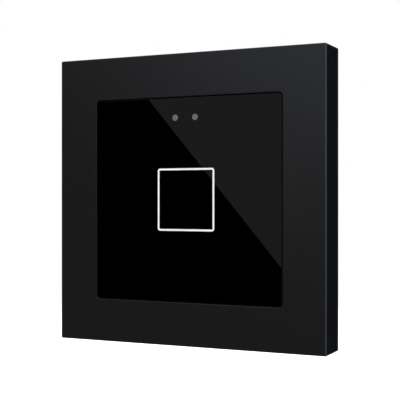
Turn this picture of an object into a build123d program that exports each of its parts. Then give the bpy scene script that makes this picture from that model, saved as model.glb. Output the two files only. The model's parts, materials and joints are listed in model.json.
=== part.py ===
from build123d import *
import math
import os

# A capacitive push button switch for a wall box: a cover frame and a touch module that magnets hold on a
# steel mounting plate. Sizes are in millimetres.
#
# Each piece is drawn flat in the wall plane, x to the right and y upwards. Heights are measured out of
# the wall towards the room: the wall face is at height 0 and what lies in the wall box is below it.
# stand_up() then turns the finished piece upright: +Z is up and the wall lies towards +Y.

# Cover frame
FRAME_SIDE = 80.0
FRAME_DEPTH = 10.0
FRAME_WALL = 2.0
FRAME_FACE = 2.0
FRAME_CORNER_R = 0.4
FRAME_EDGE_R = 0.3
OPENING_EDGE_R = 0.15
COLLAR_WALL = 1.8
LEDGE_WIDTH = 2.6
LEDGE_T = 1.6
RIB_T = 1.2
RIB_OFFSET = 12.0
CENTRING_RIB_T = 1.0
CENTRING_RIB_SPACING = 5.0
CENTRING_RIB_LIFT = 0.5

# Mounting plate
PLATE_INSET = 2.5
PLATE_T = 1.2
PLATE_CORNER_R = 4.0
SLOT_R = 1.9
SLOT_OUTER_WALL = 1.5
SLOT_INNER_WALL = 3.5
LUG_OFFSET = 20.0
LUG_WIDTH = 8.0
LUG_HEIGHT = 5.5

# Front panel with its key and the light guide behind it
PANEL_SIDE = 55.6
PANEL_T = 1.2
PANEL_CORNER_R = 0.9
PANEL_EDGE_R = 0.1
PANEL_RECESS = 0.2
ICON_SIDE = 17.2
ICON_LINE = 0.6
ICON_CORNER_R = 0.8
ICON_INNER_R = 0.2
GUIDE_T = 1.2
LENS_SPACING = 6.0
LENS_SHIFT = -0.2
LENS_INSET = 1.3
LENS_R = 0.85
LENS_SHOULDER = 0.15
LENS_SHOULDER_T = 0.6
ADHESIVE_T = 0.2
ADHESIVE_INSET = 0.1

# Tray that carries the panel and the touch board
FLANGE_INSET = 0.2
FLANGE_T = 1.4
RIM_WALL = 1.3
TRAY_WALL = 1.2
TRAY_FLOOR = 1.2
TRAY_CORNER_R = 1.0
MAGNET_R = 2.5
MAGNET_T = 1.5
MAGNET_BOSS_WALL = 0.8
BOSS_DROP = 3.3
BOSS_R = 2.4
VENT_WIDTH = 6.0
VENT_HEIGHT = 0.8

# Light box and touch sensing parts
BOARD_LIFT = 1.1
CHANNEL_WIDTH = 2.4
BRIDGE_SIDE = 3.0
BRIDGE_T = 1.2
ELECTRODE_MARGIN = 0.625
ELECTRODE_T = 0.1
SPRING_RADIUS = 2.2
SPRING_WIRE_R = 0.2
SPRING_TURNS = 2.5
SPRING_BORE_R = 3.0
BOOT_WALL = 0.8
TOUCH_BOARD_T = 1.0
LED_LENGTH = 2.0
LED_WIDTH = 1.25
LED_T = 0.7
SENSOR_WIDTH = 3.0
SENSOR_HEIGHT = 1.8
SENSOR_T = 1.0
LIGHT_SENSOR_SIDE = 1.6
LIGHT_SENSOR_T = 0.7
TOUCH_CHIP_SIDE = 4.0
TOUCH_CHIP_T = 0.8
TOUCH_CHIP_AT = (10.0, -6.0)
THERMISTOR_LENGTH = 1.6
THERMISTOR_SIDE = 0.8
THERMISTOR_INSET = 1.1

# Plug connection between the two boards
CONNECTOR_AT = (0.0, -15.0)
CONNECTOR_COLUMNS = 5
CONNECTOR_PITCH = 2.0
CONNECTOR_PIN = 0.5
CONNECTOR_PIN_GAP = 0.1
CONNECTOR_REACH = 3.0
HEADER_T = 1.6

# Bus board inside the rear housing
BUS_BOARD_T = 1.2
SIDE_MARGIN = 3.0
BUS_CHIP_SIDE = 7.0
BUS_CHIP_T = 1.2
BUS_CHIP_AT = (-9.0, 6.0)
CRYSTAL_LENGTH = 5.0
CRYSTAL_WIDTH = 3.2
CRYSTAL_T = 1.1
CRYSTAL_CORNER_R = 0.8
CRYSTAL_AT = (3.0, 6.0)
CHIP_CAPACITOR = (2.0, 1.25, 0.9)
CHIP_CAPACITOR_COUNT = 6
CHIP_CAPACITOR_PITCH = 2.6
CHIP_CAPACITOR_AT = (11.0, 0.0)
INDUCTOR_SIDE = 6.0
INDUCTOR_T = 3.0
INDUCTOR_CORNER_R = 1.2
INDUCTOR_Y = 2.6
TRANSCEIVER_SIDE = 5.0
TRANSCEIVER_T = 0.9
TRANSCEIVER_Y = -5.2
CAPACITOR_R = 3.15
CAPACITOR_T = 5.4
CAPACITOR_Y = -0.9
CAPACITOR_PITCH = 7.4

# Rear housing and its screws
HOUSING_SIDE = 43.0
HOUSING_CUT = 8.5
HOUSING_WALL = 1.5
HOUSING_DEPTH = 15.0
HOUSING_EDGE_R = 0.6
SCREW_R = 1.1
SCREW_LENGTH = 10.0
SCREW_HEAD_R = 2.0
SCREW_HEAD_T = 1.4
SCREW_CROSS = 0.5
SCREW_CROSS_LENGTH = 2.4
SCREW_CROSS_DEPTH = 0.7
SCREW_SEAT_T = 3.8
SCREW_BOSS_WALL = 1.0

# Bus plug of two poles, and the pins that it sits on
POLE_WIDTH = 5.75
PLUG_HEIGHT = 10.0
PLUG_LENGTH = 10.5
PLUG_EDGE_R = 0.4
BUS_PLUG_AT = (0.0, 9.5)
BUS_PIN_R = 0.5
BUS_PIN_REACH = 6.0
SLEEVE_WALL = 0.35
SLEEVE_LENGTH = 6.4
WIRE_R = 0.6
WIRE_DEPTH = 6.5
WIRE_SPACING_X = 2.9
WIRE_SPACING_Y = 5.2
FUNNEL_R = 1.0
FUNNEL_DEPTH = 0.6

# Input plug of four poles, and its pins
INPUT_POLES = 4
INPUT_PITCH = 2.5
INPUT_END = 1.75
INPUT_HEIGHT = 5.8
INPUT_LENGTH = 10.0
INPUT_PLUG_AT = (0.0, -12.4)
INPUT_PIN_R = 0.4
INPUT_PIN_REACH = 5.0
INPUT_WIRE_R = 1.0
INPUT_WIRE_DEPTH = 4.0
INPUT_SLEEVE_WALL = 0.3
INPUT_SLEEVE_LENGTH = 5.4

# Sockets in the rear housing
SOCKET_WALL = 1.2
SOCKET_FLOOR = 1.2
SOCKET_LIFT = 0.5

# Programming button and lamp
BUTTON_AT = (-5.0, -2.6)
BUTTON_R = 1.6
BUTTON_PROUD = 0.3
BUTTON_COLLAR_R = 2.3
BUTTON_COLLAR_T = 0.8
BUTTON_TUBE_WALL = 0.8
SWITCH_SIDE = 6.0
SWITCH_T = 3.4
SWITCH_BASE_T = 0.6
SWITCH_COVER_T = 0.8
SWITCH_CAVITY_R = 2.4
PLUNGER_R = 1.7
PLUNGER_FLANGE_R = 2.2
PLUNGER_FLANGE_T = 0.6
PLUNGER_PROUD = 0.8
DOME_R = 2.2
DOME_T = 0.6
DOME_RISE = 0.5
DOME_SLOPE = 1.1
LAMP_AT = (5.0, -2.6)
LAMP_LENGTH = 2.0
LAMP_WIDTH = 1.25
LAMP_T = 0.8
PIPE_R = 1.4
PIPE_FLANGE_R = 2.1
PIPE_FLANGE_T = 0.8
PIPE_PROUD = 0.2

# Clearances
PANEL_GAP = 0.3
BODY_GAP = 0.3
SEAT_GAP = 0.1
LUG_GAP = 0.3
WINDOW_GAP = 1.0
INLAY_GAP = 0.02
LOOSE_FIT = 0.2
PLUG_GAP = 0.3
RUNNING_FIT = 0.05
SCREW_FIT = 0.1

# How far a cut runs past the face that it opens
OVERCUT = 1.0

# How much the corner cut of an octagonal outline grows for each millimetre that the outline moves out
CUT_GROWTH = 2 - math.sqrt(2)

# Heights out of the wall, from the front inwards
panel_front = FRAME_DEPTH - PANEL_RECESS
panel_back = panel_front - PANEL_T
rim_front = panel_back - ADHESIVE_T
guide_back = panel_back - GUIDE_T
flange_back = guide_back - FLANGE_T
ledge_front = flange_back - SEAT_GAP
ledge_back = ledge_front - LEDGE_T
face_back = FRAME_DEPTH - FRAME_FACE
tray_back = PLATE_T + SEAT_GAP
tray_floor_front = tray_back + TRAY_FLOOR
touch_board_back = tray_floor_front + BOARD_LIFT
touch_board_front = touch_board_back + TOUCH_BOARD_T
bus_board_front = tray_back - BOSS_DROP
bus_board_back = bus_board_front - BUS_BOARD_T
housing_back = tray_back - HOUSING_DEPTH
housing_inside = housing_back + HOUSING_WALL
screw_seat = bus_board_back - SCREW_SEAT_T
socket_floor_front = bus_board_back - SOCKET_LIFT
socket_floor_back = socket_floor_front - SOCKET_FLOOR
plug_front = socket_floor_back - LOOSE_FIT
bus_plug_back = plug_front - PLUG_LENGTH
input_plug_back = plug_front - INPUT_LENGTH
switch_back = bus_board_back - SWITCH_T
plunger_back = switch_back - PLUNGER_PROUD

# Outlines that pieces share
opening_side = PANEL_SIDE + 2 * PANEL_GAP
opening_corner_r = PANEL_CORNER_R + PANEL_GAP
collar_side = opening_side + 2 * COLLAR_WALL
ledge_opening = opening_side - 2 * LEDGE_WIDTH
frame_inside = FRAME_SIDE - 2 * FRAME_WALL
plate_side = frame_inside - 2 * PLATE_INSET
window_side = HOUSING_SIDE + 2 * WINDOW_GAP
slot_start = window_side / 2 + SLOT_INNER_WALL
slot_end = plate_side / 2 - SLOT_OUTER_WALL
flange_side = PANEL_SIDE - 2 * FLANGE_INSET
guide_pocket = flange_side - 2 * RIM_WALL
tray_side = ledge_opening - 2 * BODY_GAP
tray_inside = tray_side - 2 * TRAY_WALL
board_side = tray_inside - 2 * BODY_GAP
icon_inner = ICON_SIDE - 2 * ICON_LINE
icon_middle = ICON_SIDE - ICON_LINE
channel_outer = icon_middle + CHANNEL_WIDTH
channel_inner = icon_middle - CHANNEL_WIDTH
electrode_side = channel_inner - 2 * ELECTRODE_MARGIN
lens_height = board_side / 2 - LENS_INSET
lens_shoulder_r = LENS_R + LENS_SHOULDER
boot_width = LENS_SPACING + SENSOR_WIDTH + 2 * BOOT_WALL
boot_bottom = lens_height - LENS_INSET
housing_space = HOUSING_SIDE - 2 * HOUSING_WALL
housing_space_cut = HOUSING_CUT - HOUSING_WALL * CUT_GROWTH
bus_board_side = housing_space - 2 * BODY_GAP
screw_offset = (housing_space - housing_space_cut) / 2 - (BOSS_R + BODY_GAP) / math.sqrt(2)
bus_plug_width = 2 * POLE_WIDTH
input_plug_width = (INPUT_POLES - 1) * INPUT_PITCH + 2 * INPUT_END
magnet_offset = tray_inside / 2 - LOOSE_FIT - MAGNET_BOSS_WALL - MAGNET_R
connector_width = CONNECTOR_COLUMNS * CONNECTOR_PITCH
connector_height = 2 * CONNECTOR_PITCH

QUARTERS = [(1, 1), (-1, 1), (-1, -1), (1, -1)]


# Building blocks
def block(width, height, low, high, at=(0, 0), corner=0.0):
    """A rectangular prism between two heights, with rounded corners if a radius is given."""
    outline = RectangleRounded(width, height, corner) if corner else Rectangle(width, height)
    return Pos(at[0], at[1], low) * extrude(outline, high - low)


def disc(radius, low, high, at=(0, 0)):
    """A round prism between two heights."""
    return Pos(at[0], at[1], low) * extrude(Circle(radius), high - low)


def cut_square(side, cut, low, high):
    """A square prism whose four corners are cut off at 45 degrees."""
    outline = Rectangle(side, side)
    return Pos(0, 0, low) * extrude(chamfer(outline.vertices(), cut), high - low)


def offset_cut(cut, distance):
    """The corner cut of an octagonal outline that lies a distance outside another one."""
    return cut + distance * CUT_GROWTH


def through(low, high):
    """The span between two heights, run on past both ends so that a cut goes right through."""
    return low - OVERCUT, high + OVERCUT


def corners(offset):
    """Four places, one in each quarter, at the same offset both ways."""
    return [(sx * offset, sy * offset) for sx, sy in QUARTERS]


def four_ways(piece):
    """Copies of a piece turned to the right, upper, left and lower side."""
    return [Rot(0, 0, turn) * piece for turn in (0, 90, 180, 270)]


def round_front(piece, radius):
    """Rounds every edge of the face that is nearest to the room."""
    return fillet(piece.edges().group_by(Axis.Z)[-1], radius)


def lens_places():
    """Where the proximity lens and the light sensor lens look out."""
    return [(LENS_SHIFT + side * LENS_SPACING / 2, lens_height) for side in (-1, 1)]


def input_places():
    """The four poles of the input plug, in a row."""
    first = INPUT_PLUG_AT[0] - INPUT_PITCH * (INPUT_POLES - 1) / 2
    return [(first + i * INPUT_PITCH, INPUT_PLUG_AT[1]) for i in range(INPUT_POLES)]


def pole_places():
    """The two poles of the bus plug, left and right."""
    return [(BUS_PLUG_AT[0] + side * POLE_WIDTH / 2, BUS_PLUG_AT[1]) for side in (-1, 1)]


def connector_places():
    """The contacts between the two boards, in two rows."""
    left = CONNECTOR_AT[0] - CONNECTOR_PITCH * (CONNECTOR_COLUMNS - 1) / 2
    rows = (CONNECTOR_AT[1] - CONNECTOR_PITCH / 2, CONNECTOR_AT[1] + CONNECTOR_PITCH / 2)
    return [(left + i * CONNECTOR_PITCH, y) for y in rows for i in range(CONNECTOR_COLUMNS)]


# Fixed to the wall box
def mounting_plate():
    """Steel plate with a window for the housing, slots for box screws, and lugs that centre the frame."""
    plate = block(plate_side, plate_side, 0, PLATE_T, corner=PLATE_CORNER_R)
    plate -= cut_square(window_side, offset_cut(HOUSING_CUT, WINDOW_GAP), *through(0, PLATE_T))
    slot = extrude(SlotOverall(slot_end - slot_start, 2 * SLOT_R), PLATE_T + 2 * OVERCUT)
    for turned in four_ways(Pos((slot_start + slot_end) / 2, 0, -OVERCUT) * slot):
        plate -= turned
    lug_middle = (plate_side - PLATE_T) / 2
    for offset in (-LUG_OFFSET, LUG_OFFSET):
        lug = block(PLATE_T, LUG_WIDTH, 0, LUG_HEIGHT, at=(lug_middle, offset))
        for turned in four_ways(lug):
            plate += turned
    return plate


# Cover frame
def cover_frame():
    """Hollow frame with a collar round the panel and a ledge that the module's flange holds down."""
    frame = block(FRAME_SIDE, FRAME_SIDE, 0, FRAME_DEPTH, corner=FRAME_CORNER_R)
    frame = round_front(frame, FRAME_EDGE_R)
    frame -= block(frame_inside, frame_inside, -OVERCUT, face_back)
    frame += block(collar_side, collar_side, ledge_back, FRAME_DEPTH - FRAME_EDGE_R)
    opening = (opening_side, opening_side)
    frame -= block(*opening, ledge_front, FRAME_DEPTH + OVERCUT, corner=opening_corner_r)
    frame -= block(ledge_opening, ledge_opening, *through(ledge_back, ledge_front))
    mouth = frame.edges().group_by(Axis.Z)[-1].filter_by(
        lambda edge: max(abs(edge.center().X), abs(edge.center().Y)) < collar_side / 2
    )
    frame = fillet(mouth, OPENING_EDGE_R)
    for rib in stiffening_ribs() + centring_ribs():
        frame += rib
    return frame


def stiffening_ribs():
    """Webs between the collar and the outer wall."""
    inner, outer = collar_side / 2, frame_inside / 2
    ribs = []
    for offset in (-RIB_OFFSET, RIB_OFFSET):
        rib = block(outer - inner, RIB_T, ledge_back, face_back, at=((inner + outer) / 2, offset))
        ribs += four_ways(rib)
    return ribs


def centring_ribs():
    """Pairs of ribs on the outer wall that stand just outside the plate's lugs."""
    inner, outer = plate_side / 2 + LUG_GAP, frame_inside / 2
    ribs = []
    for lug_place in (-LUG_OFFSET, LUG_OFFSET):
        for side in (-1, 1):
            at = ((inner + outer) / 2, lug_place + side * CENTRING_RIB_SPACING / 2)
            rib = block(outer - inner, CENTRING_RIB_T, CENTRING_RIB_LIFT, face_back, at=at)
            ribs += four_ways(rib)
    return ribs


# Front of the touch module
def front_panel():
    """Black front of the module, open where the icon's ring and the two lenses show."""
    panel = block(PANEL_SIDE, PANEL_SIDE, panel_back, panel_front, corner=PANEL_CORNER_R)
    panel = round_front(panel, PANEL_EDGE_R)
    hole_side = ICON_SIDE + 2 * INLAY_GAP
    hole_corner_r = ICON_CORNER_R + INLAY_GAP
    panel -= block(hole_side, hole_side, *through(panel_back, panel_front), corner=hole_corner_r)
    for place in lens_places():
        panel -= disc(LENS_R + INLAY_GAP, *through(panel_back, panel_front), at=place)
    return panel


def touch_key():
    """Black field inside the icon's ring, the place that a finger touches."""
    side = icon_inner - 2 * INLAY_GAP
    return block(side, side, panel_back, panel_front, corner=ICON_INNER_R)


def icon_light_guide():
    """White translucent sheet behind the panel, whose raised ring shows as the icon."""
    side = guide_pocket - 2 * LOOSE_FIT
    guide = block(side, side, guide_back, panel_back)
    ring = RectangleRounded(ICON_SIDE, ICON_SIDE, ICON_CORNER_R)
    ring -= RectangleRounded(icon_inner, icon_inner, ICON_INNER_R)
    guide += Pos(0, 0, panel_back) * extrude(ring, PANEL_T)
    for place in lens_places():
        guide -= disc(LENS_R + RUNNING_FIT, *through(guide_back, panel_back), at=place)
    return guide


def lens(place):
    """Light pipe from the panel's front to the sensor behind it, held in by its shoulder."""
    end = touch_board_front + SENSOR_T + LOOSE_FIT
    rod = disc(LENS_R, end, panel_front, at=place)
    return rod + disc(lens_shoulder_r, guide_back - LENS_SHOULDER_T, guide_back, at=place)


def proximity_lens():
    """Left lens, in front of the proximity sensor."""
    return lens(lens_places()[0])


def light_sensor_lens():
    """Right lens, in front of the ambient light sensor."""
    return lens(lens_places()[1])


def panel_adhesive():
    """Double-sided tape between the panel and the tray's rim."""
    outer = flange_side - 2 * ADHESIVE_INSET
    inner = guide_pocket + 2 * LOOSE_FIT
    tape = block(outer, outer, rim_front, panel_back)
    return tape - block(inner, inner, *through(rim_front, panel_back))


# Tray
def module_tray():
    """Tray of the touch module: flange and rim, pocket for the board, bosses for screws and magnets."""
    flange_corner_r = PANEL_CORNER_R - FLANGE_INSET
    tray = block(flange_side, flange_side, flange_back, rim_front, corner=flange_corner_r)
    tray += block(tray_side, tray_side, tray_back, flange_back, corner=TRAY_CORNER_R)
    tray -= block(guide_pocket, guide_pocket, guide_back, rim_front + OVERCUT)
    tray -= block(tray_inside, tray_inside, tray_floor_front, guide_back + OVERCUT)
    for place in corners(magnet_offset):
        tray += disc(MAGNET_R + MAGNET_BOSS_WALL, tray_floor_front, touch_board_back, at=place)
        tray -= disc(MAGNET_R + RUNNING_FIT, tray_back - OVERCUT, tray_back + MAGNET_T, at=place)
    for place in corners(screw_offset):
        tray += disc(BOSS_R, bus_board_front, touch_board_back, at=place)
        tray -= disc(SCREW_R + RUNNING_FIT, *through(bus_board_front, touch_board_back), at=place)
    opening = (connector_width + 2 * BODY_GAP, connector_height + 2 * BODY_GAP)
    tray -= block(*opening, *through(tray_back, tray_floor_front), at=CONNECTOR_AT)
    vent_low = (tray_floor_front + touch_board_back - VENT_HEIGHT) / 2
    vent = (VENT_WIDTH, TRAY_WALL + 2 * OVERCUT)
    tray -= block(*vent, vent_low, vent_low + VENT_HEIGHT, at=(0, (TRAY_WALL - tray_side) / 2))
    return tray


def holding_magnets():
    """Four disc magnets that pull the module onto the steel plate."""
    places = corners(magnet_offset)
    return [disc(MAGNET_R, tray_back, tray_back + MAGNET_T, at=place) for place in places]


# Light box and touch sensing
def light_box():
    """White block that leads the lamps' light to the ring and keeps it off the rest of the panel."""
    box = block(board_side, board_side, touch_board_front, guide_back)
    channel = block(channel_outer, channel_outer, *through(touch_board_front, guide_back))
    core = through(*through(touch_board_front, guide_back))
    channel -= block(channel_inner, channel_inner, *core)
    bridge_front = touch_board_front + BRIDGE_T
    for place in corners(icon_middle / 2):
        channel -= block(BRIDGE_SIDE, BRIDGE_SIDE, touch_board_front, bridge_front, at=place)
    box -= channel
    box -= disc(SPRING_BORE_R, *through(touch_board_front, guide_back))
    recess = electrode_side + 2 * LOOSE_FIT
    box -= block(recess, recess, guide_back - ELECTRODE_T, guide_back + OVERCUT)
    notch_width = boot_width + 2 * LOOSE_FIT
    notch_height = board_side - boot_bottom + LOOSE_FIT
    notch_at = (LENS_SHIFT, boot_bottom - LOOSE_FIT + notch_height / 2)
    box -= block(notch_width, notch_height, *through(touch_board_front, guide_back), at=notch_at)
    return box


def sensor_boot():
    """Black boot that keeps stray light away from the two sensors."""
    middle = (LENS_SHIFT, lens_height)
    boot = block(boot_width, 2 * LENS_INSET, touch_board_front, guide_back, at=middle)
    for place in lens_places():
        boot -= disc(LENS_R + RUNNING_FIT, *through(touch_board_front, guide_back), at=place)
        shoulder_back = guide_back - LENS_SHOULDER_T
        boot -= disc(lens_shoulder_r + RUNNING_FIT, shoulder_back, guide_back + OVERCUT, at=place)
        pocket = (SENSOR_WIDTH + LOOSE_FIT, SENSOR_HEIGHT + LOOSE_FIT)
        pocket_front = touch_board_front + SENSOR_T + RUNNING_FIT
        boot -= block(*pocket, touch_board_front - OVERCUT, pocket_front, at=place)
    return boot


def touch_electrode():
    """Copper pad behind the key, which senses the finger."""
    return block(electrode_side, electrode_side, guide_back - ELECTRODE_T, guide_back)


def touch_spring():
    """Coil spring that joins the electrode to the touch board."""
    low = touch_board_front + SPRING_WIRE_R + RUNNING_FIT
    high = guide_back - ELECTRODE_T - SPRING_WIRE_R - RUNNING_FIT
    coil = Helix((high - low) / SPRING_TURNS, high - low, SPRING_RADIUS)
    wire = Plane(origin=coil @ 0, z_dir=coil % 0) * Circle(SPRING_WIRE_R)
    return Pos(0, 0, low) * sweep(wire, path=coil, is_frenet=True)


def touch_board():
    """Circuit board behind the light box."""
    board = block(board_side, board_side, touch_board_back, touch_board_front)
    for place in corners(screw_offset):
        board -= disc(SCREW_R + LOOSE_FIT, *through(touch_board_back, touch_board_front), at=place)
    return board


def icon_leds():
    """Four white lamps under the middle of each side of the ring."""
    at = (icon_middle / 2, 0)
    led = block(LED_WIDTH, LED_LENGTH, touch_board_front, touch_board_front + LED_T, at=at)
    return four_ways(led)


def proximity_sensor():
    """Sensor that wakes the switch when a hand comes near."""
    size = (SENSOR_WIDTH, SENSOR_HEIGHT)
    return block(*size, touch_board_front, touch_board_front + SENSOR_T, at=lens_places()[0])


def light_sensor():
    """Sensor that dims the ring in a dark room."""
    size = (LIGHT_SENSOR_SIDE, LIGHT_SENSOR_SIDE)
    return block(*size, touch_board_front, touch_board_front + LIGHT_SENSOR_T, at=lens_places()[1])


def touch_controller():
    """Touch sensing chip on the back of the touch board."""
    size = (TOUCH_CHIP_SIDE, TOUCH_CHIP_SIDE)
    return block(*size, touch_board_back - TOUCH_CHIP_T, touch_board_back, at=TOUCH_CHIP_AT)


def temperature_sensor():
    """Thermistor beside the vent in the tray's lower wall."""
    size = (THERMISTOR_LENGTH, THERMISTOR_SIDE)
    at = (0, THERMISTOR_INSET - board_side / 2)
    return block(*size, touch_board_back - THERMISTOR_SIDE, touch_board_back, at=at)


# Plug connection between the boards
def board_header():
    """Pin header under the touch board: its strip and ten pins."""
    strip_back = touch_board_back - HEADER_T
    strip = block(connector_width, connector_height, strip_back, touch_board_back, at=CONNECTOR_AT)
    for place in connector_places():
        strip += block(CONNECTOR_PIN, CONNECTOR_PIN, strip_back - CONNECTOR_REACH, strip_back, at=place)
    return strip


def board_socket():
    """Socket on the bus board that takes the header's pins."""
    top = touch_board_back - HEADER_T
    socket = block(connector_width, connector_height, bus_board_front, top, at=CONNECTOR_AT)
    hole = CONNECTOR_PIN + 2 * CONNECTOR_PIN_GAP
    depth = CONNECTOR_REACH + CONNECTOR_PIN_GAP
    for place in connector_places():
        socket -= block(hole, hole, top - depth, top + OVERCUT, at=place)
    return socket


# Bus board
def bus_board():
    """Circuit board of the bus coupler, held between the tray's bosses and the housing's."""
    cut = offset_cut(HOUSING_CUT, -HOUSING_WALL - BODY_GAP)
    board = cut_square(bus_board_side, cut, bus_board_back, bus_board_front)
    for place in corners(screw_offset):
        board -= disc(SCREW_R + SCREW_FIT, *through(bus_board_back, bus_board_front), at=place)
    return board


def microcontroller():
    """Main chip, on the front of the bus board."""
    size = (BUS_CHIP_SIDE, BUS_CHIP_SIDE)
    return block(*size, bus_board_front, bus_board_front + BUS_CHIP_T, at=BUS_CHIP_AT)


def quartz_crystal():
    """Clock crystal in its metal can."""
    size = (CRYSTAL_LENGTH, CRYSTAL_WIDTH)
    front = bus_board_front + CRYSTAL_T
    return block(*size, bus_board_front, front, at=CRYSTAL_AT, corner=CRYSTAL_CORNER_R)


def chip_capacitors():
    """Column of small ceramic capacitors."""
    length, width, thickness = CHIP_CAPACITOR
    x, middle = CHIP_CAPACITOR_AT
    first = middle - CHIP_CAPACITOR_PITCH * (CHIP_CAPACITOR_COUNT - 1) / 2
    front = bus_board_front + thickness
    places = [(x, first + i * CHIP_CAPACITOR_PITCH) for i in range(CHIP_CAPACITOR_COUNT)]
    return [block(length, width, bus_board_front, front, at=place) for place in places]


def bus_inductor():
    """Choke of the bus power supply."""
    size = (INDUCTOR_SIDE, INDUCTOR_SIDE)
    back = bus_board_back - INDUCTOR_T
    at = (bus_board_side / 2 - SIDE_MARGIN - INDUCTOR_SIDE / 2, INDUCTOR_Y)
    return block(*size, back, bus_board_back, at=at, corner=INDUCTOR_CORNER_R)


def bus_transceiver():
    """Chip that speaks on the bus."""
    size = (TRANSCEIVER_SIDE, TRANSCEIVER_SIDE)
    at = (bus_board_side / 2 - SIDE_MARGIN - TRANSCEIVER_SIDE / 2, TRANSCEIVER_Y)
    return block(*size, bus_board_back - TRANSCEIVER_T, bus_board_back, at=at)


def bus_capacitors():
    """Two electrolytic capacitors, one above the other."""
    x = SIDE_MARGIN + CAPACITOR_R - bus_board_side / 2
    back = bus_board_back - CAPACITOR_T
    places = [(x, CAPACITOR_Y + side * CAPACITOR_PITCH / 2) for side in (-1, 1)]
    return [disc(CAPACITOR_R, back, bus_board_back, at=place) for place in places]


def bus_pins():
    """Two round pins for the bus plug."""
    tip = socket_floor_back - BUS_PIN_REACH
    return [disc(BUS_PIN_R, tip, bus_board_back, at=place) for place in pole_places()]


def input_pins():
    """Four round pins for the input plug."""
    tip = socket_floor_back - INPUT_PIN_REACH
    return [disc(INPUT_PIN_R, tip, bus_board_back, at=place) for place in input_places()]


# Programming button and lamp
def switch_body():
    """Short-stroke switch on the back of the bus board, hollow for its dome and plunger."""
    body = block(SWITCH_SIDE, SWITCH_SIDE, switch_back, bus_board_back, at=BUTTON_AT)
    cavity = (switch_back + SWITCH_COVER_T, bus_board_back - SWITCH_BASE_T)
    body -= disc(SWITCH_CAVITY_R, *cavity, at=BUTTON_AT)
    mouth = through(switch_back, cavity[0])
    return body - disc(PLUNGER_R + RUNNING_FIT, *mouth, at=BUTTON_AT)


def switch_dome():
    """Metal snap dome that gives the click and closes the contact."""
    base = bus_board_back - SWITCH_BASE_T
    dome = disc(DOME_R, base - DOME_T, base, at=BUTTON_AT)
    return chamfer(dome.edges().group_by(Axis.Z)[0], DOME_RISE, DOME_SLOPE)


def switch_plunger():
    """Plunger of the switch, kept in by its flange."""
    stop = switch_back + SWITCH_COVER_T + SEAT_GAP
    plunger = disc(PLUNGER_R, plunger_back, stop, at=BUTTON_AT)
    return plunger + disc(PLUNGER_FLANGE_R, stop, stop + PLUNGER_FLANGE_T, at=BUTTON_AT)


def prog_button_cap():
    """Cap that reaches from the plunger through the housing's rear wall."""
    rear = housing_back - BUTTON_PROUD
    cap = disc(BUTTON_R, rear, plunger_back, at=BUTTON_AT)
    cap = fillet(cap.edges().group_by(Axis.Z)[0], BUTTON_PROUD)
    collar = housing_inside + LOOSE_FIT
    return cap + disc(BUTTON_COLLAR_R, collar, collar + BUTTON_COLLAR_T, at=BUTTON_AT)


def prog_led():
    """Red lamp beside the programming switch."""
    size = (LAMP_LENGTH, LAMP_WIDTH)
    return block(*size, bus_board_back - LAMP_T, bus_board_back, at=LAMP_AT)


def prog_light_pipe():
    """Red light pipe from the lamp to the housing's rear face."""
    front = bus_board_back - LAMP_T - LOOSE_FIT
    pipe = disc(PIPE_R, housing_back - PIPE_PROUD, front, at=LAMP_AT)
    pipe = fillet(pipe.edges().group_by(Axis.Z)[0], PIPE_PROUD)
    return pipe + disc(PIPE_FLANGE_R, housing_inside, housing_inside + PIPE_FLANGE_T, at=LAMP_AT)


# Rear housing
def button_tube():
    """Tube inside the rear wall that guides the programming button and ends just short of its switch."""
    bore_r = BUTTON_COLLAR_R + LOOSE_FIT
    high = switch_back - LOOSE_FIT
    tube = disc(bore_r + BUTTON_TUBE_WALL, housing_inside, high, at=BUTTON_AT)
    return tube - disc(bore_r, *through(housing_inside, high), at=BUTTON_AT)


def socket_shell(width, height, at):
    """Walls and floor of a plug socket, standing inwards from the housing's rear wall."""
    outer = (width + 2 * PLUG_GAP + 2 * SOCKET_WALL, height + 2 * PLUG_GAP + 2 * SOCKET_WALL)
    return block(*outer, housing_inside, socket_floor_front, at=at)


def socket_pocket(width, height, at):
    """The space that a plug slides into."""
    size = (width + 2 * PLUG_GAP, height + 2 * PLUG_GAP)
    return block(*size, housing_back - OVERCUT, socket_floor_back, at=at)


def rear_housing():
    """Rear shell of the module, with two plug sockets, screw bosses and holes for button and lamp."""
    shell = cut_square(HOUSING_SIDE, HOUSING_CUT, housing_back, tray_back)
    shell = fillet(shell.edges().group_by(Axis.Z)[0], HOUSING_EDGE_R)
    inside = cut_square(housing_space, housing_space_cut, housing_inside, tray_back + OVERCUT)
    shell -= inside
    boss_r = SCREW_HEAD_R + SCREW_FIT + SCREW_BOSS_WALL
    for place in corners(screw_offset):
        shell += disc(boss_r, housing_inside, bus_board_back, at=place)
    bus_size = (bus_plug_width, PLUG_HEIGHT)
    input_size = (input_plug_width, INPUT_HEIGHT)
    shell += socket_shell(*bus_size, BUS_PLUG_AT)
    shell += socket_shell(*input_size, INPUT_PLUG_AT)
    shell -= socket_pocket(*bus_size, BUS_PLUG_AT)
    shell -= socket_pocket(*input_size, INPUT_PLUG_AT)
    for place in corners(screw_offset):
        shell -= disc(SCREW_HEAD_R + SCREW_FIT, housing_back - OVERCUT, screw_seat, at=place)
        shell -= disc(SCREW_R + SCREW_FIT, *through(screw_seat, bus_board_back), at=place)
    shell += button_tube()
    floor_cut = through(socket_floor_back, socket_floor_front)
    for place in pole_places():
        shell -= disc(BUS_PIN_R + LOOSE_FIT, *floor_cut, at=place)
    for place in input_places():
        shell -= disc(INPUT_PIN_R + LOOSE_FIT, *floor_cut, at=place)
    shell -= disc(BUTTON_R + LOOSE_FIT, *through(housing_back, housing_inside), at=BUTTON_AT)
    shell -= disc(PIPE_R + RUNNING_FIT, *through(housing_back, housing_inside), at=LAMP_AT)
    return shell


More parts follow.
